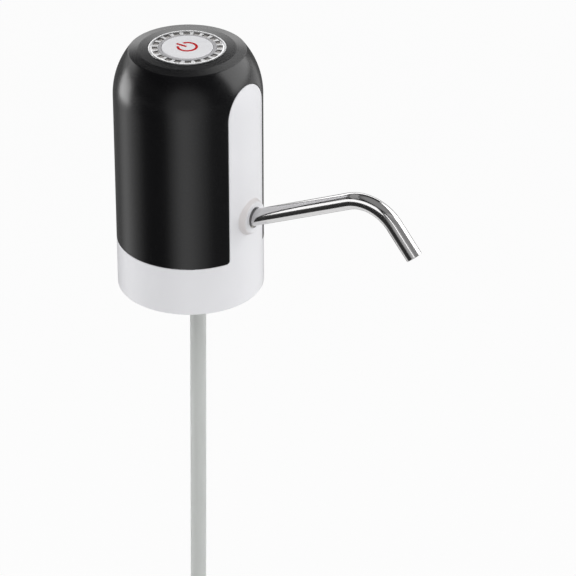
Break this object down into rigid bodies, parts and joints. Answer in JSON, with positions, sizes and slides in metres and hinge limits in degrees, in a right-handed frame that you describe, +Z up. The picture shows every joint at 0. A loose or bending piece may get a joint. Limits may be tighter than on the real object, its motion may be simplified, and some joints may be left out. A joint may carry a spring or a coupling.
{
  "type": "electric water jug pump",
  "caption": "Rechargeable pump head for a jug's neck: black domed body, white skirt and front panel, push button, bent steel spout and hanging suction hose.",
  "frame": {"origin": "centre of the neck socket's mouth, on the skirt's lower edge", "axes": "+Z up along the body's axis; the spout points to -Y; +X to the right seen from the front"},
  "size_m": [0.072, 0.1673, 0.4768],
  "materials": {
    "black_shell": "satin",
    "white_plastic": "satin",
    "bright_trim": "polished",
    "light_diffuser": "satin",
    "red_ink": "satin",
    "steel_tube": "polished",
    "clear_silicone": "translucent",
    "seal_rubber": "matt",
    "natural_nylon": "matt",
    "black_nylon": "matt",
    "board_laminate": "satin",
    "plain_steel": "plain",
    "bronze": "plain",
    "ferrite": "matt",
    "cell_wrap": "gloss",
    "lead_insulation": "satin"
  },
  "bodies": {
    "housing": {"outer_shell": "black_shell", "white_body": "white_plastic", "neck_socket": "white_plastic", "inlet_nipple": "white_plastic", "bezel_ring": "bright_trim", "light_ring": "light_diffuser", "status_leds": "light_diffuser", "suction_hose": "clear_silicone", "outlet_tube": "clear_silicone", "seat_gasket": "clear_silicone", "spout_seals": "seal_rubber", "shaft_seal": "seal_rubber", "inner_frame": "natural_nylon", "pump_body": "natural_nylon", "pump_cover": "natural_nylon", "spout_socket": "natural_nylon", "switch_body": "black_nylon", "motor_endcap": "black_nylon", "control_board": "board_laminate", "charge_board": "board_laminate", "motor_can": "plain_steel", "idler_pin": "plain_steel", "board_screws": "plain_steel", "base_screws": "plain_steel", "pump_screws": "plain_steel", "usb_socket": "plain_steel", "battery_tabs": "plain_steel", "motor_bushes": "bronze", "motor_terminals": "bronze", "motor_magnets": "ferrite", "battery_cell": "cell_wrap", "battery_leads": "lead_insulation", "motor_leads": "lead_insulation", "charge_leads": "lead_insulation"},
    "button": {"button_cap": "white_plastic", "power_mark": "red_ink", "switch_plunger": "black_nylon"},
    "rotor": {"motor_shaft": "plain_steel", "motor_armature": "plain_steel", "drive_gear": "natural_nylon"},
    "idler": {"driven_gear": "natural_nylon"},
    "spout_bush": {"spout_sleeve": "natural_nylon"},
    "spout": {"spout": "steel_tube"}
  },
  "joints": [
    {"name": "button_press", "type": "slide", "parent": "housing", "child": "button", "axis": [0, 0, -1], "range_m": [0, 0.0006], "stiffness_N_per_m": 900, "springref_m": -0.0005},
    {"name": "spout_pull", "type": "slide", "parent": "housing", "child": "spout_bush", "axis": [0, -0.9063, 0.4226], "range_m": [0, 0.009]},
    {"name": "spout_swivel", "type": "hinge", "parent": "spout_bush", "child": "spout", "pos_m": [0, -0.036, 0.0447], "axis": [0, -0.9063, 0.4226], "continuous": true},
    {"name": "motor_spin", "type": "hinge", "parent": "housing", "child": "rotor", "pos_m": [0.00106, 0.00083, 0.03], "axis": [0, 0, 1], "continuous": true},
    {"name": "idler_spin", "type": "hinge", "parent": "housing", "child": "idler", "pos_m": [0.00742, -0.00553, 0.0277], "axis": [0, 0, 1], "continuous": true}
  ],
  "couplings": [
    {"joint": "idler_spin", "follows": "motor_spin", "ratio": -1}
  ]
}
